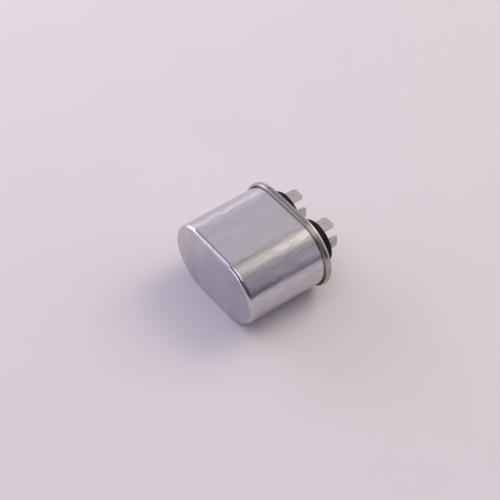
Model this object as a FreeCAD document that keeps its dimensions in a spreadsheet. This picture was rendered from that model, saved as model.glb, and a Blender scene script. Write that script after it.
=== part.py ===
"""Oval motor run capacitor: drawn can, double seamed cover, two terminals and all it holds.

Every piece is drawn in the can's own frame, with the centre of the can's bottom at the origin,
+X along the long side of the oval, +Y up the can towards the terminals and +Z across its short
side. A common placement then lays the can down on its side, with the seam's lowest line at
z = 0 and the middle of its length over the origin. Lengths are in millimetres.
"""
import FreeCAD, Part
import math
import os

import Sketcher
from FreeCAD import Vector

SIZES = (
    ("can_length", 53.1, "long size of the oval can"),
    ("can_width", 31.75, "short size of the oval can"),
    ("can_height", 41.1, "bottom of the can to the top of the seam"),
    ("can_wall", 0.45, "sheet of the can's side"),
    ("can_bottom", 0.6, "sheet of the can's bottom"),
    ("can_edge_radius", 2.0, "outside radius round the can's bottom"),
    ("cover_sheet", 0.35, "sheet of the cover"),
    ("cover_depth", 3.2, "top of the seam down to the cover's panel"),
    ("cover_corner", 0.5, "inside radius where the panel turns up"),
    ("seam_height", 2.7, "height of the double seam, along its own wall"),
    ("seam_lean", 10.0, "degrees that the seam leans out from the can"),
    ("seam_play", 0.03, "space between two layers of the seam"),
    ("hook_gap", 0.1, "space beyond the tip of each hook in the seam"),
    ("fit", 0.1, "play between the can and what is put into it"),
    ("terminal_spacing", 20.94, "between the axes of the two terminals"),
    ("cup_radius", 10.0, "outside of an insulator cup"),
    ("cup_rise", 6.3, "top of the seam up to the rim of a cup"),
    ("cup_wall", 1.4, "wall of a cup"),
    ("cup_floor", 2.2, "floor of a cup"),
    ("cup_round", 0.45, "rounding of a cup's rim"),
    ("cup_corner", 1.0, "inside radius between floor and wall of a cup"),
    ("spigot_radius", 3.0, "collar of a cup that passes through the cover"),
    ("spigot_length", 0.8, "how far the collar reaches past the cover"),
    ("spigot_play", 0.1, "play round the collar"),
    ("gasket_radius", 6.0, "outside of the rubber washer under a cup"),
    ("gasket_thickness", 0.8, "thickness of the rubber washer"),
    ("bush_radius", 6.0, "outside of the inner bush"),
    ("bush_thickness", 2.0, "thickness of the inner bush"),
    ("rivet_radius", 1.6, "shank of a rivet"),
    ("rivet_play", 0.05, "play round the shank"),
    ("head_radius", 2.7, "outer head of a rivet"),
    ("head_height", 0.9, "height of the outer head"),
    ("clench_radius", 2.5, "closed inner end of a rivet"),
    ("clench_height", 0.7, "height of the closed end"),
    ("blade_width", 6.35, "quick connect blade, quarter inch"),
    ("blade_sheet", 0.8, "thickness of a blade"),
    ("blade_reach", 13.0, "top of the seam up to the blades' tips"),
    ("blade_bend", 0.4, "inside radius where a blade turns up"),
    ("flat_blade_offset", 7.4, "terminal axis to the blade that lies flat"),
    ("upright_blade_offset", 4.7, "terminal axis to the blade that stands on edge"),
    ("tip_chamfer", 1.1, "chamfer at the corners of a blade's tip"),
    ("tip_bevel", 0.2, "bevel of the tip's long edges"),
    ("dimple_radius", 0.8, "latching dimple in a blade"),
    ("dimple_depth", 0.15, "depth of the dimple"),
    ("dimple_setback", 3.4, "tip of a blade down to its dimple"),
    ("lug_radius", 3.2, "washer end of an inner lug"),
    ("lug_width", 4.0, "tab of the lug"),
    ("lug_sheet", 0.5, "sheet of the lug"),
    ("lug_bend", 0.4, "inside radius where the tab turns down"),
    ("lug_reach", 5.2, "terminal axis to the outer face of the tab"),
    ("lug_drop", 2.0, "tab below the washer end"),
    ("cover_room", 5.4, "free height between cover and tray"),
    ("tray_plate", 1.2, "thickness of the interrupter tray"),
    ("tray_wall", 1.5, "wall that holds the tray off the cover"),
    ("tray_vent", 2.5, "radius of the oil hole in the tray"),
    ("slot_play", 0.2, "play round a lead in its slot"),
    ("ring_width", 5.0, "width of the rings that space the winding"),
    ("upper_ring_height", 1.5, "winding up to the tray"),
    ("lower_ring_land", 0.45, "straight edge of the lower ring above the can's corner"),
    ("liner_sheet", 0.4, "pressboard liner"),
    ("wrap_sheet", 0.3, "outer wrap of the winding"),
    ("spray_sheet", 0.4, "sprayed metal on the winding's ends"),
    ("winding_eye", 0.4, "half the width of the slit in the middle of the winding"),
    ("lead_width", 3.0, "flat lead"),
    ("lead_sheet", 0.25, "thickness of a lead"),
    ("lead_play", 0.1, "play round a lead in the lower ring"),
    ("lead_start", 2.0, "inner end of a lead, past the terminal axis"),
    ("sleeve_wall", 0.2, "wall of the insulating sleeve"),
    ("sleeve_play", 0.02, "play between lead and sleeve"),
    ("sleeve_bend", 0.05, "inside radius of the sleeve's bends"),
    ("side_play", 0.11, "play of the sleeve between winding and liner"),
    ("joint_radius", 2.4, "solder joint on an end spray"),
    ("joint_height", 0.8, "height of a solder joint"),
    ("joint_inset", 1.4, "end of a lead, past the middle of its joint"),
)

PLACES = (
    ("straight", "(sizes.can_length - sizes.can_width) / 2", "half the straight part of the oval"),
    ("terminal_side", "sizes.terminal_spacing / 2", "a terminal's axis from the middle"),
    ("lie_y", "-(sizes.can_height + sizes.blade_reach) / 2", "bottom of the can when it lies"),
    ("can_outer", "sizes.can_width / 2", "outside of the can"),
    ("can_inner", "can_outer - sizes.can_wall", "inside of the can"),
    ("inner_edge", "sizes.can_edge_radius - sizes.can_wall", "inside radius round the bottom"),
    ("lean_up", "cos(sizes.seam_lean * 1 deg)", "rise of a step along the leaning seam"),
    ("lean_out", "sin(sizes.seam_lean * 1 deg)", "its reach outwards"),
    ("hook_in", "can_outer + sizes.seam_play", "cover hook, face towards the can"),
    ("hook_out", "hook_in + sizes.cover_sheet", "cover hook, other face"),
    ("flange_in", "hook_out + sizes.seam_play", "can's flange, face towards the hook"),
    ("flange_out", "flange_in + sizes.can_wall", "can's flange, other face"),
    ("curl_in", "flange_out + sizes.seam_play", "outer wall of the seam, inside"),
    ("curl_out", "curl_in + sizes.cover_sheet", "outer wall of the seam, outside"),
    ("chuck_out", "can_inner - sizes.seam_play", "inner wall of the cover, towards the can"),
    ("chuck_in", "chuck_out - sizes.cover_sheet", "inner wall of the cover, other face"),
    ("arch_middle", "(chuck_in + curl_out) / 2", "middle of the bends at the seam's top"),
    ("arch_radius", "(curl_out - chuck_in) / 2", "outside of the cover's bend at the top"),
    ("arch_out", "arch_middle - can_outer", "the bends' centre, outwards from the can"),
    ("arch_up", "sizes.seam_height - arch_radius", "the bends' centre above the seam's foot"),
    ("arch_top", "arch_up * lean_up - arch_out * lean_out + arch_radius", "top above the foot"),
    ("seam_foot", "sizes.can_height - arch_top", "height where the can leans out into the seam"),
    ("arch_level", "seam_foot + arch_up", "height of the bends' centre, before it leans"),
    ("roll_middle", "(hook_in + curl_out) / 2", "middle of the bend at the seam's foot"),
    ("roll_radius", "(curl_out - hook_in) / 2", "outside of the bend at the seam's foot"),
    ("roll_level", "seam_foot + roll_radius", "height of its centre, before it leans"),
    ("lie_z", "can_outer + arch_out * lean_up + arch_up * lean_out + arch_radius",
     "the can's axis above the ground when it lies, as far as the seam stands out"),
    ("hook_tip", "arch_level - sizes.hook_gap", "upper end of the cover hook"),
    ("flange_tip", "roll_level + sizes.hook_gap", "lower end of the can's flange"),
    ("panel_top", "sizes.can_height - sizes.cover_depth", "upper face of the cover's panel"),
    ("panel_under", "panel_top - sizes.cover_sheet", "lower face of the cover's panel"),
    ("panel_turn", "panel_top + sizes.cover_corner", "height of the corner's centre"),
    ("chuck_room", "can_outer - chuck_in + sizes.cover_corner", "that centre to the can's leaning wall"),
    ("panel_edge", "can_outer - (chuck_room + (seam_foot - panel_turn) * lean_out) / lean_up",
     "where the flat panel ends and its corner begins"),
    ("spigot_bore", "sizes.spigot_radius + sizes.spigot_play", "hole round a cup's collar"),
    ("rivet_bore", "sizes.rivet_radius + sizes.rivet_play", "hole round a rivet"),
    ("cup_top", "sizes.can_height + sizes.cup_rise", "rim of a cup"),
    ("cup_bore", "sizes.cup_radius - sizes.cup_wall", "inside of a cup"),
    ("seat", "panel_top + sizes.cup_floor", "floor of a cup, where the terminal sits"),
    ("spigot_end", "panel_under - sizes.spigot_length", "end of a cup's collar"),
    ("blade_tip", "sizes.can_height + sizes.blade_reach", "tips of the blades"),
    ("half_blade", "sizes.blade_width / 2", "half a blade's width"),
    ("blade_foot", "seat + sizes.blade_sheet + sizes.blade_bend", "where a blade is upright"),
    ("bush_under", "panel_under - sizes.bush_thickness", "lower face of the inner bush"),
    ("lug_under", "bush_under - sizes.lug_sheet", "lower face of the lug's washer end"),
    ("tab_end", "lug_under - sizes.lug_drop", "lower end of the lug's tab"),
    ("tray_top", "panel_under - sizes.cover_room", "upper face of the interrupter tray"),
    ("tray_under", "tray_top - sizes.tray_plate", "lower face of the tray"),
    ("tray_outer", "can_inner - sizes.fit", "outside of the tray"),
    ("tray_inner", "tray_outer - sizes.tray_wall", "inside of the tray's wall"),
    ("winding_foot", "sizes.can_bottom + inner_edge + sizes.lower_ring_land", "lower ring's top"),
    ("winding_head", "tray_under - sizes.upper_ring_height", "top of the upper end spray"),
    ("lower_outer", "can_inner - sizes.fit", "outside of the lower ring"),
    ("lower_inner", "lower_outer - sizes.ring_width", "inside of the lower ring"),
    ("liner_outer", "can_inner - sizes.fit", "outside of the liner"),
    ("liner_inner", "liner_outer - sizes.liner_sheet", "inside of the liner"),
    ("upper_outer", "liner_inner - sizes.fit", "outside of the upper ring"),
    ("upper_inner", "upper_outer - sizes.ring_width", "inside of the upper ring"),
    ("sleeve_half", "sizes.lead_sheet / 2 + sizes.sleeve_play + sizes.sleeve_wall", "half a sleeve"),
    ("half_sleeve", "sizes.lead_width / 2 + sizes.sleeve_play + sizes.sleeve_wall", "its half width"),
    ("past_straight", "max(0; terminal_side + half_sleeve - straight)", "sleeve beside a round end"),
    ("liner_there", "sqrt(liner_inner ^ 2 - past_straight ^ 2)", "liner's face by the sleeve's edge"),
    ("side_gap", "2 * (sleeve_half + sizes.side_play)", "room for the sleeve beside the winding"),
    ("wrap_outer", "liner_there - side_gap", "outside of the outer wrap"),
    ("winding_outer", "wrap_outer - sizes.wrap_sheet", "outside of the winding"),
    ("lead_bend", "sleeve_half + sizes.sleeve_bend", "middle radius of a lead's bends"),
    ("lead_side", "wrap_outer + side_gap / 2", "lead beside the winding"),
    ("lead_up", "sizes.lug_reach + sizes.lead_sheet / 2", "lead where it rises to the lug"),
    ("lead_top", "lug_under - sizes.lug_bend", "upper end of a lead, on the lug's tab"),
    ("lead_low", "winding_foot - sizes.lead_sheet / 2", "lead under the lower end spray"),
    ("lead_high", "winding_head + sizes.lead_sheet / 2", "lead on the upper end spray"),
    ("lead_over", "winding_head + sizes.side_play + sleeve_half", "sleeved lead over the winding"),
    ("sleeve_foot", "lead_low + lead_bend + sizes.lead_sheet", "lower end of the sleeve"),
    ("sleeve_end", "lead_up + lead_bend + sizes.lead_width / 2", "end of the sleeve near the tray"),
    ("lead_notch", "sizes.lead_width / 2 + sizes.lead_play", "half the notch in the lower ring"),
    ("sleeve_notch", "half_sleeve + sizes.slot_play", "half the notch in the upper ring"),
    ("lead_slot", "sizes.lead_width / 2 + sizes.slot_play", "half a slot in the tray, along it"),
    ("joint_middle", "sizes.joint_inset - sizes.lead_start", "middle of a solder joint"),
    ("joint_sphere", "(sizes.joint_radius ^ 2 + sizes.joint_height ^ 2) / (2 * sizes.joint_height)",
     "radius of the joint's domed face"),
)

LEAST_CUT = 0.001
NEAR = 0.001

doc = FreeCAD.newDocument("motor_run_capacitor")
sizes = doc.addObject("Spreadsheet::Sheet", "sizes")
places = doc.addObject("Spreadsheet::Sheet", "places")
reader = doc.addObject("Spreadsheet::Sheet", "reader")


def fill(sheet, rows, written):
    """Write one row for each size: its meaning, and its value under its name."""
    for number, (name, entry, meaning) in enumerate(rows, start=1):
        sheet.set(f"A{number}", meaning)
        sheet.set(f"B{number}", written(entry))
        sheet.setAlias(f"B{number}", name)
    doc.recompute()


fill(sizes, SIZES, str)
fill(places, PLACES, "={}".format)


def at(name):
    """The expression that reads one worked-out place."""
    return f"places.{name}"


def value(expression):
    """What an expression is worth now, as a plain number, read in a cell of its own sheet."""
    reader.set("A1", f"={expression}")
    reader.recompute()
    return float(reader.get("A1"))


def new_body(label, side="0"):
    """A body in the can's frame, laid down with the can. side is its own offset along X."""
    body = doc.addObject("PartDesign::Body", label)
    body.Label = label
    body.setExpression(".Placement.Base.x", side)
    body.setExpression(".Placement.Base.y", at("lie_y"))
    body.setExpression(".Placement.Base.z", at("lie_z"))
    return body


def new_sketch(body, name, plane, level=None):
    """A sketch on one of the body's own planes, moved along its normal by level."""
    sketch = body.newObject("Sketcher::SketchObject", f"{body.Name}_{name}")
    origin_plane = next(f for f in body.Origin.OriginFeatures if f.Role == f"{plane}_Plane")
    sketch.AttachmentSupport = [(origin_plane, "")]
    sketch.MapMode = "FlatFace"
    if level is not None:
        sketch.setExpression(".AttachmentOffset.Base.z", level)
    return sketch


def bind(sketch, kind, target, expression, name):
    """Hold one coordinate or radius of a sketch to an expression."""
    index = sketch.addConstraint(Sketcher.Constraint(kind, *target, value(expression)))
    sketch.renameConstraint(index, name)
    sketch.setExpression(f"Constraints.{name}", str(expression))


def outline(sketch, start, *steps):
    """A closed outline of lines and arcs through points whose coordinates follow the sheets.

    A step is (x, y) for a line to that point, or (x, y, centre_x, centre_y, turn) for an arc
    to it, where turn is "left" or "right".
    """
    ends = [(start[0], start[1])] + [(step[0], step[1]) for step in steps]
    points = [Vector(value(x), value(y), 0) for x, y in ends]
    count = len(steps)
    edges = []
    for number, step in enumerate(steps):
        first = points[number]
        last = points[number + 1]
        if len(step) == 2:
            edges.append((sketch.addGeometry(Part.LineSegment(first, last)), 1, 2))
            continue
        centre = Vector(value(step[2]), value(step[3]), 0)
        circle = Part.Circle(centre, Vector(0, 0, 1), (first - centre).Length)
        angles = [math.atan2(p.y - centre.y, p.x - centre.x) for p in (first, last)]
        if step[4] == "right":
            angles.reverse()
        if angles[1] <= angles[0]:
            angles[1] += 2 * math.pi
        arc = sketch.addGeometry(Part.ArcOfCircle(circle, *angles))
        edges.append((arc, 1, 2) if step[4] == "left" else (arc, 2, 1))
    for number, (edge, _, tail) in enumerate(edges):
        following, head, _ = edges[(number + 1) % count]
        sketch.addConstraint(Sketcher.Constraint("Coincident", edge, tail, following, head))
    tag = sketch.ConstraintCount
    for number, (edge, _, tail) in enumerate(edges):
        x, y = ends[number + 1]
        bind(sketch, "DistanceX", (-1, 1, edge, tail), x, f"across_{tag}_{number}")
        bind(sketch, "DistanceY", (-1, 1, edge, tail), y, f"up_{tag}_{number}")
        if len(steps[number]) == 5:
            span = points[number + 1] - points[number]
            if abs(span.x) < abs(span.y):
                bind(sketch, "DistanceX", (-1, 1, edge, 3), steps[number][2], f"centre_{tag}_{number}")
            else:
                bind(sketch, "DistanceY", (-1, 1, edge, 3), steps[number][3], f"centre_{tag}_{number}")


def oval(sketch, radius):
    """The can's oval at some radius: two straights and two round ends, begun on the short axis."""
    end = at("straight")
    outline(
        sketch,
        ("0", radius),
        (end, radius),
        (end, f"-({radius})", end, "0", "right"),
        (f"-{end}", f"-({radius})"),
        (f"-{end}", radius, f"-{end}", "0", "right"),
        ("0", radius),
    )


def box(sketch, left, right, low, high):
    """A rectangle between two pairs of coordinates."""
    outline(sketch, (left, low), (right, low), (right, high), (left, high), (left, low))


def disc(sketch, radius, side="0", up="0"):
    """A full circle."""
    middle = Vector(value(side), value(up), 0)
    circle = sketch.addGeometry(Part.Circle(middle, Vector(0, 0, 1), value(radius)))
    tag = sketch.ConstraintCount
    bind(sketch, "Radius", (circle,), radius, f"radius_{tag}")
    bind(sketch, "DistanceX", (-1, 1, circle, 3), side, f"across_{tag}")
    bind(sketch, "DistanceY", (-1, 1, circle, 3), up, f"up_{tag}")


def pad(body, sketch, length, both_ways=False, against_normal=True):
    """Thicken a sketch. An XZ plane's normal points down the can, so against it is up the can."""
    feature = body.newObject("PartDesign::Pad", f"{sketch.Name}_pad")
    feature.Profile = sketch
    feature.Midplane = both_ways
    feature.Reversed = against_normal and not both_ways
    feature.setExpression("Length", length)
    doc.recompute()
    body.Tip = feature


def cut(body, sketch, length, along_normal=True):
    """Cut a sketch out of the body, and make sure that it took something away."""
    before = body.Shape.Volume
    feature = body.newObject("PartDesign::Pocket", f"{sketch.Name}_cut")
    feature.Profile = sketch
    feature.Reversed = along_normal
    feature.setExpression("Length", length)
    doc.recompute()
    body.Tip = feature
    if before - feature.Shape.Volume < LEAST_CUT:
        raise RuntimeError(f"{feature.Name} cuts nothing")


def turn(body, sketch):
    """Revolve a sketch on the XY plane once round the can's direction."""
    feature = body.newObject("PartDesign::Revolution", f"{sketch.Name}_turn")
    feature.Profile = sketch
    feature.ReferenceAxis = (sketch, ["V_Axis"])
    feature.Angle = 360
    doc.recompute()
    body.Tip = feature


def sweep(body, section, path):
    """Carry a section sketch along a path sketch."""
    feature = body.newObject("PartDesign::AdditivePipe", f"{section.Name}_sweep")
    feature.Profile = section
    feature.Spine = (path, [f"Edge{number + 1}" for number in range(path.GeometryCount)])
    doc.recompute()
    body.Tip = feature


def up_from(level):
    """Offset of an XZ plane sketch that puts it at a height on the can."""
    return f"-({level})"


def oval_ring(body, name, radius, *section):
    """Sweep a section, drawn as height and radius, round the can's oval."""
    path = new_sketch(body, f"{name}_path", "XZ")
    oval(path, radius)
    profile = new_sketch(body, f"{name}_section", "YZ")
    outline(profile, *section)
    doc.recompute()
    sweep(body, profile, path)


def leaning(level, radius):
    """Height and radius of a point of the seam, which leans out from the can at its foot."""
    up = f"({level} - {at('seam_foot')})"
    out = f"({radius} - {at('can_outer')})"
    return (
        f"{at('seam_foot')} + {up} * {at('lean_up')} - {out} * {at('lean_out')}",
        f"{at('can_outer')} + {out} * {at('lean_up')} + {up} * {at('lean_out')}",
    )


def oval_plate(body, name, low, high, outer, inner=None):
    """An oval plate between two heights, with an oval hole if it has an inner radius."""
    sketch = new_sketch(body, name, "XZ", up_from(low))
    oval(sketch, outer)
    if inner is not None:
        oval(sketch, inner)
    pad(body, sketch, f"{high} - ({low})")


def can():
    """Drawn can: flat bottom, rounded edge, straight side, and a flange hooked into the seam."""
    body = new_body("can")
    corner = f"{at('can_outer')} - sizes.can_edge_radius"
    inner_turn = f"sizes.can_bottom + {at('inner_edge')}"
    inner_foot = f"{at('seam_foot')} + sizes.can_wall * {at('lean_out')} / (1 + {at('lean_up')})"
    top = leaning(at("arch_level"), at("arch_middle"))
    oval_ring(
        body, "wall", at("can_outer"),
        ("0.0", corner),
        ("sizes.can_edge_radius", at("can_outer"), "sizes.can_edge_radius", corner, "right"),
        (at("seam_foot"), at("can_outer")),
        leaning(at("arch_level"), at("can_outer")),
        (*leaning(at("arch_level"), at("flange_in")), *top, "left"),
        leaning(at("flange_tip"), at("flange_in")),
        leaning(at("flange_tip"), at("flange_out")),
        leaning(at("arch_level"), at("flange_out")),
        (*leaning(at("arch_level"), at("can_inner")), *top, "right"),
        (inner_foot, at("can_inner")),
        (inner_turn, at("can_inner")),
        ("sizes.can_bottom", corner, inner_turn, corner, "left"),
        ("0.0", corner),
    )
    oval_plate(body, "bottom", "0", "sizes.can_bottom", corner)


def cover():
    """Lid with a sunk panel, whose edge is folded over the can's flange and hooked under it."""
    body = new_body("cover")
    bend = "sizes.cover_corner"
    outer_bend = "(sizes.cover_corner + sizes.cover_sheet)"
    corner = (at("panel_turn"), at("panel_edge"))
    corner_in, corner_out = (
        (f"{corner[0]} - {radius} * {at('lean_out')}", f"{corner[1]} + {radius} * {at('lean_up')}")
        for radius in (bend, outer_bend)
    )
    top = leaning(at("arch_level"), at("arch_middle"))
    foot = leaning(at("roll_level"), at("roll_middle"))
    oval_ring(
        body, "edge", at("chuck_in"),
        leaning(at("hook_tip"), at("hook_in")),
        leaning(at("roll_level"), at("hook_in")),
        (*leaning(at("roll_level"), at("curl_out")), *foot, "right"),
        leaning(at("arch_level"), at("curl_out")),
        (*leaning(at("arch_level"), at("chuck_in")), *top, "right"),
        corner_in,
        (at("panel_top"), at("panel_edge"), *corner, "left"),
        (at("panel_under"), at("panel_edge")),
        (*corner_out, *corner, "right"),
        leaning(at("arch_level"), at("chuck_out")),
        (*leaning(at("arch_level"), at("curl_in")), *top, "left"),
        leaning(at("roll_level"), at("curl_in")),
        (*leaning(at("roll_level"), at("hook_out")), *foot, "left"),
        leaning(at("hook_tip"), at("hook_out")),
        leaning(at("hook_tip"), at("hook_in")),
    )
    oval_plate(body, "panel", at("panel_under"), at("panel_top"), at("panel_edge"))
    holes = new_sketch(body, "holes", "XZ", up_from(at("panel_top")))
    disc(holes, at("spigot_bore"), at("terminal_side"))
    disc(holes, at("spigot_bore"), f"-{at('terminal_side')}")
    cut(body, holes, "sizes.cover_sheet")


def seam_compound():
    """Sealing compound pressed into the top of the can's flange, over the cover hook."""
    body = new_body("seam_compound")
    top = leaning(at("arch_level"), at("arch_middle"))
    oval_ring(
        body, "bead", at("can_outer"),
        leaning(at("hook_tip"), at("can_outer")),
        leaning(at("arch_level"), at("can_outer")),
        (*leaning(at("arch_level"), at("flange_in")), *top, "left"),
        leaning(at("hook_tip"), at("flange_in")),
        leaning(at("hook_tip"), at("can_outer")),
    )


def cup(name, side):
    """Moulded insulator cup, with a recess for its gasket and a collar through the cover."""
    body = new_body(name, side)
    section = new_sketch(body, "section", "XY")
    recess = "sizes.gasket_radius + sizes.spigot_play"
    recess_top = f"{at('panel_top')} + sizes.gasket_thickness"
    rim = f"{at('cup_top')} - sizes.cup_round"
    outer = "sizes.cup_radius"
    outer_round = f"{outer} - sizes.cup_round"
    inner_round = f"{at('cup_bore')} + sizes.cup_round"
    floor_turn = f"{at('seat')} + sizes.cup_corner"
    floor_edge = f"{at('cup_bore')} - sizes.cup_corner"
    outline(
        section,
        (at("rivet_bore"), at("spigot_end")),
        ("sizes.spigot_radius", at("spigot_end")),
        ("sizes.spigot_radius", recess_top),
        (recess, recess_top),
        (recess, at("panel_top")),
        (outer, at("panel_top")),
        (outer, rim),
        (outer_round, at("cup_top"), outer_round, rim, "left"),
        (inner_round, at("cup_top")),
        (at("cup_bore"), rim, inner_round, rim, "left"),
        (at("cup_bore"), floor_turn),
        (floor_edge, at("seat"), floor_edge, floor_turn, "right"),
        (at("rivet_bore"), at("seat")),
        (at("rivet_bore"), at("spigot_end")),
    )
    turn(body, section)


def gasket(name, side):
    """Rubber washer in the recess under a cup."""
    body = new_body(name, side)
    section = new_sketch(body, "section", "XZ", up_from(at("panel_top")))
    disc(section, "sizes.gasket_radius")
    disc(section, "sizes.spigot_radius")
    pad(body, section, "sizes.gasket_thickness")


def folded_strip(body, name, foot, offset, plane):
    """Base of a terminal under one blade: flat on the cup's floor, then bent up."""
    sheet = "sizes.blade_sheet"
    inner = f"{offset} - {sheet} / 2"
    outer = f"{offset} + {sheet} / 2"
    bend = f"{inner} - sizes.blade_bend"
    upper = f"{foot} + {sheet}"
    upright = at("blade_foot")
    far = f"-{at('half_blade')}"
    if plane == "YZ":
        start = (foot, far)
        steps = (
            (foot, bend),
            (upright, outer, upright, bend, "right"),
            (upright, inner),
            (upper, bend, upright, bend, "left"),
            (upper, far),
            start,
        )
    else:
        start = (far, foot)
        steps = (
            (bend, foot),
            (outer, upright, bend, upright, "left"),
            (inner, upright),
            (bend, upper, bend, upright, "right"),
            (far, upper),
            start,
        )
    sketch = new_sketch(body, f"{name}_fold", plane)
    outline(sketch, start, *steps)
    pad(body, sketch, "sizes.blade_width", both_ways=True)


def blade(body, name, offset, plane):
    """Flat blade with chamfered corners, and a shallow latching dimple in its outer face."""
    edge = at("half_blade")
    tip = at("blade_tip")
    foot = at("blade_foot")
    shoulder = f"{tip} - sizes.tip_chamfer"
    narrow = f"{edge} - sizes.tip_chamfer"
    points = (
        (f"-({edge})", foot),
        (edge, foot),
        (edge, shoulder),
        (narrow, tip),
        (f"-({narrow})", tip),
        (f"-({edge})", shoulder),
        (f"-({edge})", foot),
    )
    dimple = ("0", f"{tip} - sizes.dimple_setback")
    if plane == "YZ":
        points = [(y, x) for x, y in points]
        dimple = (dimple[1], dimple[0])
    inner = f"{offset} - sizes.blade_sheet / 2"
    outer = f"{offset} + sizes.blade_sheet / 2"
    sketch = new_sketch(body, f"{name}_blade", plane, inner)
    outline(sketch, *points)
    pad(body, sketch, "sizes.blade_sheet", against_normal=False)
    mark = new_sketch(body, f"{name}_dimple", plane, outer)
    disc(mark, "sizes.dimple_radius", *dimple)
    cut(body, mark, "sizes.dimple_depth", along_normal=False)


def terminal(name, side):
    """Stamped terminal: a base with two blades turned up square to each other."""
    body = new_body(name, side)
    folded_strip(body, "flat", at("seat"), "sizes.flat_blade_offset", "YZ")
    folded_strip(body, "upright", at("seat"), "sizes.upright_blade_offset", "XY")
    blade(body, "flat", "sizes.flat_blade_offset", "XY")
    blade(body, "upright", "sizes.upright_blade_offset", "YZ")
    hole = new_sketch(body, "hole", "XZ", up_from(f"{at('seat')} + sizes.blade_sheet"))
    disc(hole, at("rivet_bore"))
    cut(body, hole, "sizes.blade_sheet")
    stamped = body.Tip
    level = value(at("blade_tip")) - NEAR
    short = value("sizes.blade_sheet") + NEAR
    edges = [
        f"Edge{number}" for number, edge in enumerate(stamped.Shape.Edges, start=1)
        if edge.BoundBox.YMin > level and edge.Length > short
    ]
    bevel = body.newObject("PartDesign::Chamfer", f"{name}_bevel")
    bevel.Base = (stamped, edges)
    bevel.setExpression("Size", "sizes.tip_bevel")
    doc.recompute()
    body.Tip = bevel


def rivet(name, side):
    """Rivet with a domed outer head on the terminal and a closed end under the lug."""
    body = new_body(name, side)
    section = new_sketch(body, "section", "XY")
    seat = f"{at('seat')} + sizes.blade_sheet"
    crown = f"{seat} + sizes.head_height"
    end = f"{at('lug_under')} - sizes.clench_height"
    flat = "sizes.head_radius - sizes.head_height"
    outline(
        section,
        ("0", end),
        ("sizes.clench_radius", end),
        ("sizes.clench_radius", at("lug_under")),
        ("sizes.rivet_radius", at("lug_under")),
        ("sizes.rivet_radius", seat),
        ("sizes.head_radius", seat),
        (flat, crown, flat, seat, "left"),
        ("0", crown),
        ("0", end),
    )
    turn(body, section)


def bush(name, side):
    """Inner insulating bush, with a recess for the cup's collar."""
    body = new_body(name, side)
    section = new_sketch(body, "section", "XY")
    recess = f"{at('spigot_end')} - sizes.spigot_play"
    outline(
        section,
        (at("rivet_bore"), at("bush_under")),
        ("sizes.bush_radius", at("bush_under")),
        ("sizes.bush_radius", at("panel_under")),
        (at("spigot_bore"), at("panel_under")),
        (at("spigot_bore"), recess),
        (at("rivet_bore"), recess),
        (at("rivet_bore"), at("bush_under")),
    )
    turn(body, section)


def lug(name, side):
    """Contact lug: a washer end under the bush, and a tab turned down for the lead."""
    body = new_body(name, side)
    washer = new_sketch(body, "washer", "XZ", up_from(at("lug_under")))
    disc(washer, "sizes.lug_radius")
    pad(body, washer, "sizes.lug_sheet")
    tab = new_sketch(body, "tab", "YZ")
    face = "sizes.lug_reach"
    inner = f"{face} - sizes.lug_sheet"
    bend = f"{inner} - sizes.lug_bend"
    low = f"{at('lug_under')} - sizes.lug_bend"
    outline(
        tab,
        (at("bush_under"), "0"),
        (at("bush_under"), bend),
        (low, face, low, bend, "left"),
        (at("tab_end"), face),
        (at("tab_end"), inner),
        (low, inner),
        (at("lug_under"), bend, low, bend, "right"),
        (at("lug_under"), "0"),
        (at("bush_under"), "0"),
    )
    pad(body, tab, "sizes.lug_width", both_ways=True)
    hole = new_sketch(body, "hole", "XZ", up_from(at("bush_under")))
    disc(hole, at("rivet_bore"))
    cut(body, hole, "sizes.lug_sheet")


def interrupter_plate():
    """Stiff tray held off the cover by its wall, with a slot for each lead and an oil hole."""
    body = new_body("interrupter_plate")
    oval_plate(body, "plate", at("tray_under"), at("tray_top"), at("tray_outer"))
    oval_plate(body, "wall", at("tray_top"), at("panel_under"), at("tray_outer"), at("tray_inner"))
    slots = new_sketch(body, "slots", "XZ", up_from(at("tray_top")))
    low = "sizes.lug_reach - sizes.slot_play"
    high = "sizes.lug_reach + sizes.lead_sheet + sizes.slot_play"
    for middle in (at("terminal_side"), f"-{at('terminal_side')}"):
        left = f"{middle} - {at('lead_slot')}"
        right = f"{middle} + {at('lead_slot')}"
        box(slots, left, right, low, high)
    disc(slots, "sizes.tray_vent")
    cut(body, slots, "sizes.tray_plate")


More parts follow.
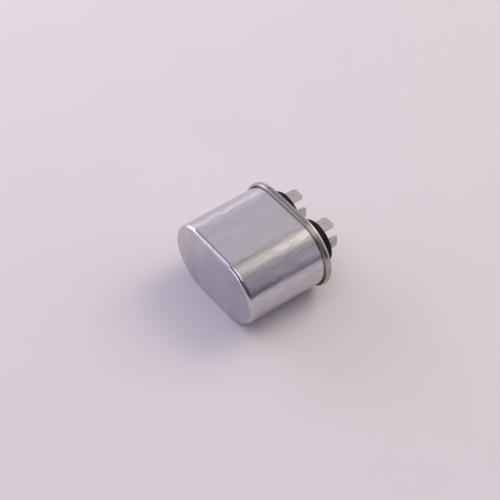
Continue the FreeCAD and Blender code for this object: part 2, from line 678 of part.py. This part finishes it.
def square_path(sketch, points):
    """An open path of straights parallel to the axes, joined by the lead's bends."""
    bend = at("lead_bend")
    runs = []
    for (x1, y1), (x2, y2) in zip(points, points[1:]):
        step_x = value(x2) - value(x1)
        step_y = value(y2) - value(y1)
        length = math.hypot(step_x, step_y)
        runs.append((round(step_x / length), round(step_y / length)))
    edges = []
    head = points[0]
    for number, (run_x, run_y) in enumerate(runs):
        corner_x, corner_y = points[number + 1]
        last = number == len(runs) - 1
        tail = (corner_x, corner_y) if last else (
            f"{corner_x} - {bend} * {run_x}", f"{corner_y} - {bend} * {run_y}")
        edges.append((head, tail, None))
        if last:
            break
        next_x, next_y = runs[number + 1]
        head = (f"{corner_x} + {bend} * {next_x}", f"{corner_y} + {bend} * {next_y}")
        centre = (
            f"{corner_x} + {bend} * {next_x - run_x}", f"{corner_y} + {bend} * {next_y - run_y}")
        edges.append((tail, head, (centre, run_x * next_y - run_y * next_x > 0)))
    for number, (first, last, bent) in enumerate(edges):
        ends = [Vector(value(x), value(y), 0) for x, y in (first, last)]
        if bent is None:
            edge = sketch.addGeometry(Part.LineSegment(*ends))
            order = (1, 2)
        else:
            (centre_x, centre_y), left = bent
            centre = Vector(value(centre_x), value(centre_y), 0)
            order = (1, 2) if left else (2, 1)
            if not left:
                ends.reverse()
            angles = [math.atan2(p.y - centre.y, p.x - centre.x) for p in ends]
            if angles[1] < angles[0]:
                angles[1] += 2 * math.pi
            circle = Part.Circle(centre, Vector(0, 0, 1), value(bend))
            edge = sketch.addGeometry(Part.ArcOfCircle(circle, *angles))
            bind(sketch, "DistanceX", (-1, 1, edge, 3), centre_x, f"centre_{number}")
        if number == 0:
            bind(sketch, "DistanceX", (-1, 1, edge, order[0]), first[0], "across_start")
            bind(sketch, "DistanceY", (-1, 1, edge, order[0]), first[1], "up_start")
        else:
            sketch.addConstraint(Sketcher.Constraint("Coincident", *joined, edge, order[0]))
        bind(sketch, "DistanceX", (-1, 1, edge, order[1]), last[0], f"across_{number}")
        bind(sketch, "DistanceY", (-1, 1, edge, order[1]), last[1], f"up_{number}")
        joined = (edge, order[1])


def lead(name, side, points, level):
    """Flat lead, carried along its path from the solder joint to the lug's tab."""
    body = new_body(name, side)
    path = new_sketch(body, "path", "YZ")
    square_path(path, points)
    section = new_sketch(body, "section", "XY", "-sizes.lead_start")
    half = "sizes.lead_width / 2"
    box(section, f"-{half}", half, f"{level} - sizes.lead_sheet / 2", f"{level} + sizes.lead_sheet / 2")
    doc.recompute()
    sweep(body, section, path)


def lead_sleeve(side):
    """Insulating sleeve that keeps the long lead off the winding and its upper end."""
    body = new_body("lead_sleeve", side)
    path = new_sketch(body, "path", "YZ")
    square_path(path, (
        (at("sleeve_foot"), at("lead_side")),
        (at("lead_over"), at("lead_side")),
        (at("lead_over"), at("sleeve_end")),
    ))
    section = new_sketch(body, "section", "XZ", up_from(at("sleeve_foot")))
    for wall in ("sizes.sleeve_play + sizes.sleeve_wall", "sizes.sleeve_play"):
        wide = f"(sizes.lead_width / 2 + {wall})"
        thick = f"(sizes.lead_sheet / 2 + {wall})"
        box(section, f"-{wide}", wide, f"{at('lead_side')} - {thick}", f"{at('lead_side')} + {thick}")
    doc.recompute()
    sweep(body, section, path)


def joint(name, side, level, turned):
    """Solder joint: a low dome on an end spray, closed round the end of its lead."""
    body = new_body(name, side)
    body.setExpression(".Placement.Base.y", f"{at('lie_y')} + {level}")
    body.setExpression(".Placement.Base.z", f"{at('lie_z')} + {at('joint_middle')}")
    if turned:
        body.Placement.Rotation = FreeCAD.Rotation(Vector(0, 0, 1), 180)
    section = new_sketch(body, "section", "XY")
    sunk = f"sizes.joint_height - {at('joint_sphere')}"
    outline(
        section,
        ("0", "0"),
        ("sizes.joint_radius", "0"),
        ("0", "sizes.joint_height", "0", sunk, "left"),
        ("0", "0"),
    )
    turn(body, section)
    channel = new_sketch(body, "channel", "XY", "-sizes.joint_inset")
    half = "sizes.lead_width / 2"
    box(channel, f"-{half}", half, "-sizes.lead_sheet", "sizes.lead_sheet")
    cut(body, channel, "sizes.joint_radius * 2")


def lower_ring():
    """Ring in the can's bottom corner, which carries the winding and leaves room for its joint."""
    body = new_body("lower_ring")
    corner = f"{at('lower_outer')} - {at('inner_edge')}"
    level = f"sizes.can_bottom + {at('inner_edge')}"
    oval_ring(
        body, "body", at("lower_outer"),
        ("sizes.can_bottom", at("lower_inner")),
        ("sizes.can_bottom", corner),
        (level, at("lower_outer"), level, corner, "right"),
        (at("winding_foot"), at("lower_outer")),
        (at("winding_foot"), at("lower_inner")),
        ("sizes.can_bottom", at("lower_inner")),
    )
    notch = new_sketch(body, "notch", "XZ", up_from(at("winding_foot")))
    middle = at("terminal_side")
    half = at("lead_notch")
    beyond = f"{at('lower_outer')} + sizes.ring_width"
    box(notch, f"{middle} - {half}", f"{middle} + {half}", "0", beyond)
    cut(body, notch, "sizes.lead_sheet + sizes.lead_play")


def upper_ring():
    """Ring between winding and tray, open where the sleeved lead passes."""
    body = new_body("upper_ring")
    low = at("winding_head")
    high = at("tray_under")
    oval_plate(body, "body", low, high, at("upper_outer"), at("upper_inner"))
    notch = new_sketch(body, "notch", "XZ", up_from(high))
    middle = at("terminal_side")
    half = at("sleeve_notch")
    beyond = f"{at('upper_outer')} + sizes.ring_width"
    box(notch, f"{middle} - {half}", f"{middle} + {half}", "0", beyond)
    cut(body, notch, "sizes.upper_ring_height")


def winding_pieces():
    """Film winding pressed flat, its wrap, the metal sprayed on its ends, and the liner round it."""
    film_foot = f"({at('winding_foot')} + sizes.spray_sheet)"
    film_head = f"({at('winding_head')} - sizes.spray_sheet)"
    rows = (
        ("winding", film_foot, film_head, at("winding_outer"), "sizes.winding_eye"),
        ("outer_wrap", at("winding_foot"), at("winding_head"), at("wrap_outer"), at("winding_outer")),
        ("lower_end_spray", at("winding_foot"), film_foot, at("winding_outer"), None),
        ("upper_end_spray", film_head, at("winding_head"), at("winding_outer"), None),
        ("liner", at("winding_foot"), at("tray_under"), at("liner_outer"), at("liner_inner")),
    )
    for name, low, high, outer, inner in rows:
        oval_plate(new_body(name), "body", low, high, outer, inner)


def check_and_write():
    """Stop at any failed object or bad solid, and write one file for each piece."""
    for item in doc.Objects:
        if "Invalid" in item.State or "Error" in item.State:
            raise RuntimeError(f"{item.Name} failed: {item.State}")
    os.makedirs("parts", exist_ok=True)
    for body in doc.findObjects("PartDesign::Body"):
        shape = body.Shape
        if shape.isNull() or not shape.isValid() or len(shape.Solids) != 1:
            raise RuntimeError(f"{body.Label} isn't one valid solid")
    for body in doc.findObjects("PartDesign::Body"):
        body.Shape.exportStep(os.path.join("parts", f"{body.Label}.step"))
        print(f"{body.Label}: {body.Shape.Volume:.2f} mm3")


can()
cover()
seam_compound()
interrupter_plate()
upper_ring()
lower_ring()
winding_pieces()

left = f"-{at('terminal_side')}"
right = at("terminal_side")
for word, side in (("left", left), ("right", right)):
    cup(f"{word}_cup", side)
    gasket(f"{word}_gasket", side)
    terminal(f"{word}_terminal", side)
    rivet(f"{word}_rivet", side)
    bush(f"{word}_bush", side)
    lug(f"{word}_lug", side)

lead("left_lead", left, (
    (at("lead_high"), "-sizes.lead_start"),
    (at("lead_high"), at("lead_up")),
    (at("lead_top"), at("lead_up")),
), at("lead_high"))
lead("right_lead", right, (
    (at("lead_low"), "-sizes.lead_start"),
    (at("lead_low"), at("lead_side")),
    (at("lead_over"), at("lead_side")),
    (at("lead_over"), at("lead_up")),
    (at("lead_top"), at("lead_up")),
), at("lead_low"))
lead_sleeve(right)
joint("left_joint", left, at("winding_head"), turned=False)
joint("right_joint", right, at("winding_foot"), turned=True)

doc.recompute()
check_and_write()
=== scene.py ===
"""Oval motor run capacitor on its side: finishes of every piece, floor, light and camera."""

import math

import bpy
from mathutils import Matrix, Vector


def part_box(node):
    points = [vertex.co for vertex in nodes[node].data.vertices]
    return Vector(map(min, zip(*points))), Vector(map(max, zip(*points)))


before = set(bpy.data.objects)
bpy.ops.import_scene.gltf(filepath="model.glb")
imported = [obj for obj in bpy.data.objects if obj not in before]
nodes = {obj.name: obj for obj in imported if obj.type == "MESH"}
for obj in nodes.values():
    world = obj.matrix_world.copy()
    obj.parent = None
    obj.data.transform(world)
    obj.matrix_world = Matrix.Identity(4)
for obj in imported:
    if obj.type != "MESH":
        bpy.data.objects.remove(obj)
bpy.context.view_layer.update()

MM = 0.001

# The can, as it lies.
CAN_HALF_WIDTH = 31.75 / 2 * MM
CAN_EDGE_RADIUS = 2.0 * MM
CAN_HALF_STRAIGHT = (53.1 - 31.75) / 2 * MM
CAN_BOTTOM = -27.05 * MM
CAN_AXIS_LEVEL = 17.401 * MM

# Dents from use in the can, and dark spots on its rim: the place and the reach of each, in
# millimetres along X, Y and Z.
CAN_DENTS = (
    ((-13.3, -25.0, 33.0), (0.8, 0.4, 0.6)),
    ((-11.3, -22.0, 33.2), (0.7, 0.35, 0.6)),
    ((-13.6, -17.6, 32.9), (1.2, 0.35, 0.6)),
    ((-10.2, -3.0, 33.3), (0.5, 0.5, 0.5)),
    ((-4.9, -7.5, 33.3), (0.8, 0.5, 0.5)),
    ((-3.4, -24.2, 33.3), (0.5, 0.5, 0.5)),
    ((7.2, -7.4, 33.3), (0.7, 0.35, 0.5)),
)
RIM_DARK_SPOTS = (
    ((-13.07, 12.35, 34.63), (0.8, 0.6, 0.8)),
    ((28.06, 13.05, 18.16), (0.8, 0.6, 0.7)),
)

# How fast a noise changes along the can, against across it: draw lines, clouds and waves.
FINE_DRAW = 0.06
BROAD_DRAW = 0.3
WAVE_DRAW = 0.35

# Spans over which the can's finish changes: from its bottom, past the edge of its flat sides,
# from its middle line, and from the painted dark reflection line.
LOW_SMOOTH_SPAN = (3.0 * MM, 20.0 * MM)
ROUNDING_SPAN = (1.5 * MM, 2.5 * MM)
LINED_SPAN = (-1.5 * MM, 1.5 * MM)
END_RIM_SPAN = (13.0 * MM, 14.0 * MM)
CREASE_SPAN = (13.1 * MM, 13.9 * MM)
SIDE_SPAN = (14.5 * MM, 15.5 * MM)
DARK_REFLECTION_SPAN = (0.2 * MM, 1.4 * MM)

# A painted dark reflection: a darker line painted along the can's right round, just past the flat
# side.
DARK_REFLECTION_LINE = 12.6 * MM

# Shares: roughness kept close to the bottom, draw lines left on the flat sides, and how much
# darker the scores, the painted dark reflection line and the painted shade in the dents are.
LOW_ROUGHNESS = 0.85
FLAT_LINES = 0.08
SCORE_DARKNESS = 0.28
DARK_REFLECTION_SHADE = 0.11
PAINTED_DENT_SHADE = 0.22

# Depths of relief in the finishes.
CAN_WAVE_DEPTH = 0.12 * MM
DRAW_LINE_DEPTH = 0.05 * MM
EDGE_WOBBLE_DEPTH = 0.10 * MM
END_CREASE_DEPTH = 0.16 * MM
DENT_DEPTH = 0.05 * MM
NICK_DEPTH = 0.08 * MM
INNER_GRAIN_DEPTH = 0.03 * MM
FINE_GRAIN_DEPTH = 0.01 * MM

# The inner pieces' uneven grain: waves to a metre, and how far roughness goes up and down.
INNER_GRAIN_SCALE = 900
INNER_ROUGHNESS_CHANGE = 0.08

CAMERA_PLACE = (312.134 * MM, -244.645 * MM, 448.668 * MM)
CAMERA_TURN = (math.radians(42.468), math.radians(-0.099), math.radians(52.888))
CAMERA_LENS = 100
CAMERA_SENSOR = 36
CAMERA_NEAR = 0.01
CAMERA_FAR = 20

FLOOR_SIZE = 6.0
FLOOR_COLOUR = (0.780, 0.731, 0.773)
FLOOR_CLOUD_TONE = 0.985
# From the middle of the cover back to the line on which its seam bears on the floor.
SEAM_BEARING = 1.5 * MM

# The room's even light, and its glows: azimuth and height in degrees, colour, and the degrees
# from the middle at which each fades out and is full.
ROOM_LIGHT = (0.09, 0.08, 0.13)
GLOWS = (
    (115, 55, (0.17, 0.155, 0.20), 96, 55),
    (256, 3, (3.60, 3.50, 3.80), 15, 7),
    (285, 76, (1.05, 1.05, 0.98), 32, 8),
    (95, 30, (0.22, 0.20, 0.12), 70, 30),
    (84, 65, (0.20, 0.18, 0.17), 14, 6),
    (142, 46, (0.13, 0.12, 0.15), 18, 8),
    (155, 30, (0.26, 0.23, 0.26), 22, 8),
    (150, 8, (0.62, 0.59, 0.65), 24, 8),
    (92, 36, (1.74, 1.60, 1.28), 34, 10),
    (52, 14, (0.60, 0.59, 0.66), 30, 8),
    (190, 8, (0.65, 0.64, 0.88), 26, 8),
    (213, 30, (0.98, 0.95, 1.10), 20, 6),
    (198, 56, (0.24, 0.23, 0.27), 16, 4),
    (226, 19, (1.00, 1.02, 1.24), 20, 6),
)

LAMP_DISTANCE = 0.7
# The lamps: name, azimuth and height, degrees from middle to edge, radiance and colour.
LAMPS = (
    ("warm_light", 92, 45, 10.5, 1.85, (1.0, 0.96, 0.58)),
    ("cool_light", 188, 20, 15, 3.0, (0.82, 0.82, 1.0)),
)

# Places of the colour sockets on Blender's Mix node.
MIX_FIRST = 6
MIX_SECOND = 7
MIX_RESULT = 2


class Finish:
    """One procedural material, with short calls for the nodes that finishes share."""

    def __init__(self, name, **sockets):
        self.material = bpy.data.materials.new(name)
        self.material.use_nodes = True
        self.tree = self.material.node_tree
        self.shader = self.tree.nodes["Principled BSDF"]
        self.bumped = None
        for socket, number in sockets.items():
            self.shader.inputs[socket.replace("_", " ")].default_value = number
        self.place = self.node("ShaderNodeTexCoord").outputs["Object"]

    def node(self, kind, **settings):
        made = self.tree.nodes.new(kind)
        for name, setting in settings.items():
            setattr(made, name, setting)
        return made

    def join(self, outlet, inlet):
        self.tree.links.new(outlet, inlet)

    def give(self, socket, outlet):
        self.join(outlet, self.shader.inputs[socket])

    def drawn_out(self, along):
        """The place on the object, with its length counted at a share of its real size."""
        mapping = self.node("ShaderNodeMapping")
        mapping.inputs["Scale"].default_value = (1, along, 1)
        self.join(self.place, mapping.inputs["Vector"])
        return mapping.outputs["Vector"]

    def noise(self, scale, detail=3.0, roughness=0.55, along=None):
        """Cloudy noise with so many waves to a metre, fewer of them along the can if wanted."""
        made = self.node("ShaderNodeTexNoise")
        made.inputs["Scale"].default_value = scale
        made.inputs["Detail"].default_value = detail
        made.inputs["Roughness"].default_value = roughness
        self.join(self.drawn_out(along) if along else self.place, made.inputs["Vector"])
        return made.outputs["Fac"]

    def tones(self, factor, low, high, start=0.3, end=0.7):
        """Two colours, and those between them, over a span of a factor."""
        made = self.node("ShaderNodeValToRGB")
        stops = ((start, low), (end, high))
        for element, (place, colour) in zip(made.color_ramp.elements, stops):
            element.position = place
            element.color = (*colour, 1.0)
        self.join(factor, made.inputs["Fac"])
        return made.outputs["Color"]

    def spread(self, factor, low, high, start=0.3, end=0.7):
        """A factor carried from one span of numbers to another."""
        made = self.node("ShaderNodeMapRange")
        made.inputs["From Min"].default_value = start
        made.inputs["From Max"].default_value = end
        made.inputs["To Min"].default_value = low
        made.inputs["To Max"].default_value = high
        self.join(factor, made.inputs["Value"])
        return made.outputs["Result"]

    def tinted(self, first, second):
        """One colour times another."""
        made = self.node("ShaderNodeMix", data_type="RGBA", blend_type="MULTIPLY")
        made.inputs[0].default_value = 1.0
        self.join(first, made.inputs[MIX_FIRST])
        self.join(second, made.inputs[MIX_SECOND])
        return made.outputs[MIX_RESULT]

    def darker(self, colour, share):
        """A colour with a share of it taken away."""
        left = self.reckon("SUBTRACT", 1.0, share)
        scaled = self.node("ShaderNodeVectorMath", operation="SCALE")
        self.join(colour, scaled.inputs[0])
        self.join(left, scaled.inputs["Scale"])
        return scaled.outputs[0]

    def bump(self, height, depth, strength=1.0):
        """Relief of so many metres, laid over any relief given before."""
        made = self.node("ShaderNodeBump")
        made.inputs["Strength"].default_value = strength
        made.inputs["Distance"].default_value = depth
        self.join(height, made.inputs["Height"])
        if self.bumped is not None:
            self.join(self.bumped, made.inputs["Normal"])
        self.bumped = made.outputs["Normal"]
        self.join(self.bumped, self.shader.inputs["Normal"])

    def across(self, axis):
        """How far along one axis of the object a point lies."""
        parts = self.node("ShaderNodeSeparateXYZ")
        self.join(self.place, parts.inputs[0])
        return parts.outputs[axis]

    def reckon(self, operation, first, second=0.0):
        """One step of arithmetic on outlets or numbers."""
        step = self.node("ShaderNodeMath", operation=operation)
        for inlet, given in zip(step.inputs, (first, second)):
            if isinstance(given, float):
                inlet.default_value = given
            else:
                self.join(given, inlet)
        return step.outputs[0]

    def times(self, first, second):
        return self.reckon("MULTIPLY", first, second)

    def distance(self, outlet, place):
        """How far a number lies from a place, to either side."""
        return self.reckon("ABSOLUTE", self.reckon("SUBTRACT", outlet, place))

    def from_middle(self):
        """How far a point lies from the oval can's middle line, square to its length."""
        beyond = self.reckon("SUBTRACT", self.distance(self.across("X"), 0.0), CAN_HALF_STRAIGHT)
        beyond = self.reckon("MAXIMUM", beyond, 0.0)
        above = self.reckon("SUBTRACT", self.across("Z"), CAN_AXIS_LEVEL)
        square = self.reckon("ADD", self.times(beyond, beyond), self.times(above, above))
        return self.reckon("SQRT", square)

    def marks(self, spots):
        """One everywhere, and less within the reach of each spot."""
        lowest = None
        for place, reach in spots:
            offset = self.node("ShaderNodeVectorMath", operation="SUBTRACT")
            self.join(self.place, offset.inputs[0])
            offset.inputs[1].default_value = [MM * part for part in place]
            share = self.node("ShaderNodeVectorMath", operation="DIVIDE")
            self.join(offset.outputs[0], share.inputs[0])
            share.inputs[1].default_value = [MM * part for part in reach]
            length = self.node("ShaderNodeVectorMath", operation="LENGTH")
            self.join(share.outputs[0], length.inputs[0])
            level = self.spread(length.outputs["Value"], 0.0, 1.0, 0.2, 1.0)
            lowest = level if lowest is None else self.reckon("MINIMUM", lowest, level)
        return lowest


def drawn_aluminium():
    """Bare drawn can: satin metal, fine lines along its length, small dents round its bottom with
    painted shade in them, and a painted dark reflection line along its right round.
    """
    finish = Finish("drawn_aluminium", Metallic=1.0)
    from_bottom = finish.reckon("SUBTRACT", finish.across("Y"), CAN_BOTTOM)
    from_middle = finish.from_middle()

    clouds = finish.noise(160, 3, 0.5, BROAD_DRAW)
    tint = finish.tones(clouds, (0.61, 0.60, 0.63), (0.67, 0.66, 0.69))
    finish.bump(finish.noise(95, 2, 0.5, WAVE_DRAW), CAN_WAVE_DEPTH)

    # Draw lines, nearly worn off the flat sides, and smoother metal close to the bottom.
    lines = finish.noise(1600, 3, 0.7, FINE_DRAW)
    smoother_low = finish.spread(from_bottom, LOW_ROUGHNESS, 1.0, *LOW_SMOOTH_SPAN)
    finish.give("Roughness", finish.times(finish.spread(lines, 0.13, 0.22), smoother_low))
    past_flat = finish.reckon("SUBTRACT", finish.distance(finish.across("X"), 0.0), CAN_HALF_STRAIGHT)
    lined = finish.spread(past_flat, FLAT_LINES, 1.0, *LINED_SPAN)
    finish.bump(finish.times(lines, lined), DRAW_LINE_DEPTH)
    scores = finish.spread(finish.noise(2700, 3, 0.7, FINE_DRAW), SCORE_DARKNESS, 0.0, 0.34, 0.56)
    tint = finish.darker(tint, finish.times(scores, lined))

    # The bottom's rounding: uneven, with a faint crease where the end face begins.
    rounding = finish.spread(from_bottom, 1.0, 0.0, *ROUNDING_SPAN)
    beside_end = finish.spread(from_middle, 0.0, 1.0, *END_RIM_SPAN)
    wobble = finish.spread(finish.noise(450, 3, 0.6), -0.5, 0.5, 0.0, 1.0)
    finish.bump(finish.times(wobble, finish.times(rounding, beside_end)), EDGE_WOBBLE_DEPTH)
    finish.bump(finish.spread(from_middle, 0.0, 1.0, *CREASE_SPAN), END_CREASE_DEPTH)

    # Painted dark reflection: a darker line painted along the right round, just past the flat side.
    on_side = finish.spread(from_middle, 0.0, 1.0, *SIDE_SPAN)
    off_line = finish.distance(finish.across("X"), DARK_REFLECTION_LINE)
    painted_reflection_line = finish.spread(off_line, DARK_REFLECTION_SHADE, 0.0, *DARK_REFLECTION_SPAN)
    tint = finish.darker(tint, finish.times(painted_reflection_line, on_side))

    # Painted shade: the dents are darkened in colour as well as sunk in relief.
    dents = finish.marks(CAN_DENTS)
    finish.bump(dents, DENT_DEPTH)
    dark = finish.spread(dents, PAINTED_DENT_SHADE, 0.0, 0.0, 1.0)
    finish.give("Base Color", finish.darker(tint, dark))
    return finish.material


def tinned_steel():
    """Tin plated cover: warm grey, softly shining, with two dark sunk spots on its rim."""
    finish = Finish("tinned_steel", Metallic=1.0)
    tin = finish.tones(finish.noise(350, 3, 0.6), (0.42, 0.40, 0.355), (0.47, 0.445, 0.395))
    # Two spots on the rim, sunk in relief and darker in colour.
    rim_spots = finish.marks(RIM_DARK_SPOTS)
    spot_darkening = finish.tones(rim_spots, (0.05, 0.045, 0.04), (1.0, 1.0, 1.0), 0.0, 0.9)
    finish.give("Base Color", finish.tinted(tin, spot_darkening))
    finish.give("Roughness", finish.spread(finish.noise(900), 0.20, 0.26))
    finish.bump(rim_spots, NICK_DEPTH)
    return finish.material


def black_phenolic():
    """Moulded black insulator."""
    finish = Finish("black_phenolic", Specular_IOR_Level=0.15)
    black = finish.tones(finish.noise(800, 3, 0.6), (0.006, 0.006, 0.007), (0.010, 0.009, 0.011))
    finish.give("Base Color", black)
    finish.give("Roughness", finish.spread(finish.noise(1500), 0.42, 0.55))
    finish.bump(finish.noise(4000), FINE_GRAIN_DEPTH, 0.3)
    return finish.material


def tin_plate(name, low, high):
    """Dull tin plate on the terminals and rivets."""
    finish = Finish(name, Metallic=1.0)
    finish.give("Base Color", finish.tones(finish.noise(700, 3, 0.6), low, high))
    finish.give("Roughness", finish.spread(finish.noise(1600), 0.28, 0.42))
    finish.bump(finish.noise(3500), FINE_GRAIN_DEPTH, 0.3)
    return finish.material


def inner_finish(name, low, high, rough, metal):
    """An inner piece's finish: two tones and an uneven sheen."""
    finish = Finish(name, Metallic=metal)
    clouds = finish.noise(INNER_GRAIN_SCALE, 4, 0.6)
    finish.give("Base Color", finish.tones(clouds, low, high))
    smoothest = rough - INNER_ROUGHNESS_CHANGE
    roughest = rough + INNER_ROUGHNESS_CHANGE
    finish.give("Roughness", finish.spread(clouds, smoothest, roughest))
    finish.bump(clouds, INNER_GRAIN_DEPTH, 0.4)
    return finish.material


def dress(material, *names):
    """Give a finish to nodes of the object."""
    for name in names:
        held = nodes[name].data.materials
        held.clear()
        held.append(material)


def both(*pieces):
    """The names of pieces that the left and the right terminal each have."""
    return [f"{side}_{piece}" for side in ("left", "right") for piece in pieces]


# Two tones, roughness and share of metal of each inner finish, and the pieces that have it.
INNER_FINISHES = (
    ("gasket_rubber", (0.02, 0.02, 0.02), (0.035, 0.035, 0.035), 0.7, 0.0, both("gasket")),
    ("sealing_compound", (0.13, 0.10, 0.08), (0.18, 0.14, 0.12), 0.6, 0.0, ["seam_compound"]),
    ("brown_laminate", (0.26, 0.14, 0.07), (0.34, 0.20, 0.11), 0.55, 0.0,
     ["interrupter_plate", *both("bush")]),
    ("pressboard", (0.48, 0.36, 0.22), (0.60, 0.47, 0.31), 0.85, 0.0,
     ["upper_ring", "lower_ring", "liner"]),
    ("metallised_film", (0.50, 0.50, 0.52), (0.60, 0.60, 0.61), 0.25, 1.0, ["winding"]),
    ("clear_film", (0.70, 0.70, 0.67), (0.80, 0.80, 0.77), 0.2, 0.0, ["outer_wrap"]),
    ("sprayed_zinc", (0.34, 0.35, 0.36), (0.48, 0.49, 0.50), 0.6, 1.0,
     ["lower_end_spray", "upper_end_spray"]),
    ("insulating_sleeve", (0.62, 0.58, 0.48), (0.74, 0.71, 0.62), 0.6, 0.0, ["lead_sleeve"]),
    ("tinned_copper", (0.56, 0.53, 0.50), (0.66, 0.63, 0.60), 0.3, 1.0, both("lead")),
    ("solder", (0.50, 0.50, 0.49), (0.60, 0.60, 0.59), 0.3, 1.0, both("joint")),
)

dress(drawn_aluminium(), "can")
dress(tinned_steel(), "cover")
dress(black_phenolic(), *both("cup"))
terminal_tin = tin_plate("terminal_tin", (0.50, 0.475, 0.45), (0.56, 0.53, 0.50))
dress(terminal_tin, *both("terminal", "lug"))
dress(tin_plate("rivet_tin", (0.60, 0.57, 0.55), (0.68, 0.65, 0.63)), *both("rivet"))
for name, low, high, rough, metal, pieces in INNER_FINISHES:
    dress(inner_finish(name, low, high, rough, metal), *pieces)


def floor():
    """Plain pale floor that the seam and the can's bottom edge both rest on."""
    can_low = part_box("can")[0]
    cover_low, cover_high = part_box("cover")
    axis_level = (cover_low.z + cover_high.z) / 2
    under_can = axis_level - CAN_HALF_WIDTH
    near = can_low.y + CAN_EDGE_RADIUS
    far = (cover_low.y + cover_high.y) / 2 - SEAM_BEARING
    lean = math.atan2(under_can - cover_low.z, far - near)
    place = (0, far, cover_low.z)
    bpy.ops.mesh.primitive_plane_add(size=FLOOR_SIZE, location=place, rotation=(-lean, 0, 0))
    plane = bpy.context.object
    plane.name = "floor"
    finish = Finish("floor_paper", Roughness=0.9, Specular_IOR_Level=0.1)
    low = tuple(FLOOR_CLOUD_TONE * part for part in FLOOR_COLOUR)
    finish.give("Base Color", finish.tones(finish.noise(30, 2, 0.5), low, FLOOR_COLOUR))
    plane.data.materials.append(finish.material)


def towards(azimuth, height):
    """The direction at so many degrees from +X towards +Y, and so many up from the floor."""
    turn = math.radians(azimuth)
    rise = math.radians(height)
    level = math.cos(rise)
    return Vector((level * math.cos(turn), level * math.sin(turn), math.sin(rise)))


class Sky:
    """Soft light from all round, with glows added towards chosen directions."""

    def __init__(self, even):
        world = bpy.data.worlds.new("studio")
        bpy.context.scene.world = world
        world.use_nodes = True
        self.tree = world.node_tree
        self.background = self.tree.nodes["Background"]
        self.towards = self.tree.nodes.new("ShaderNodeTexCoord").outputs["Generated"]
        start = self.tree.nodes.new("ShaderNodeRGB")
        start.outputs[0].default_value = (*even, 1)
        self.light = start.outputs[0]

    def glow(self, azimuth, height, colour, edge, middle):
        """Add light round a direction in degrees, full to its middle and none past its edge."""
        near = self.tree.nodes.new("ShaderNodeVectorMath")
        near.operation = "DOT_PRODUCT"
        near.inputs[1].default_value = towards(azimuth, height)
        self.tree.links.new(self.towards, near.inputs[0])
        share = self.tree.nodes.new("ShaderNodeMapRange")
        share.interpolation_type = "SMOOTHSTEP"
        share.inputs["From Min"].default_value = math.cos(math.radians(edge))
        share.inputs["From Max"].default_value = math.cos(math.radians(middle))
        self.tree.links.new(near.outputs["Value"], share.inputs["Value"])
        added = self.tree.nodes.new("ShaderNodeMix")
        added.data_type = "RGBA"
        added.blend_type = "ADD"
        self.tree.links.new(share.outputs["Result"], added.inputs[0])
        self.tree.links.new(self.light, added.inputs[MIX_FIRST])
        added.inputs[MIX_SECOND].default_value = (*colour, 1)
        self.light = added.outputs[MIX_RESULT]

    def done(self):
        self.tree.links.new(self.light, self.background.inputs["Color"])


def softbox(name, azimuth, height, spread, radiance, colour):
    """A square soft light, of some degrees from its middle to its edge as the object sees it."""
    side = 2 * LAMP_DISTANCE * math.tan(math.radians(spread))
    place = LAMP_DISTANCE * towards(azimuth, height)
    turn = place.to_track_quat("Z", "Y").to_euler()
    bpy.ops.object.light_add(type="AREA", location=place, rotation=turn)
    lamp = bpy.context.object
    lamp.name = name
    lamp.data.shape = "SQUARE"
    lamp.data.size = side
    lamp.data.energy = radiance * math.pi * side * side
    lamp.data.color = colour


def studio():
    """A lilac room: warm lamp and window behind, cool ones to the left, dark by the camera."""
    sky = Sky(ROOM_LIGHT)
    for glow in GLOWS:
        sky.glow(*glow)
    sky.done()
    for lamp in LAMPS:
        softbox(*lamp)


def photograph():
    """The camera where the photograph was taken from."""
    bpy.ops.object.camera_add(location=CAMERA_PLACE, rotation=CAMERA_TURN)
    camera = bpy.context.object
    camera.data.lens = CAMERA_LENS
    camera.data.sensor_width = CAMERA_SENSOR
    camera.data.clip_start = CAMERA_NEAR
    camera.data.clip_end = CAMERA_FAR
    bpy.context.scene.camera = camera
    bpy.context.scene.view_settings.view_transform = "Standard"


floor()
studio()
photograph()
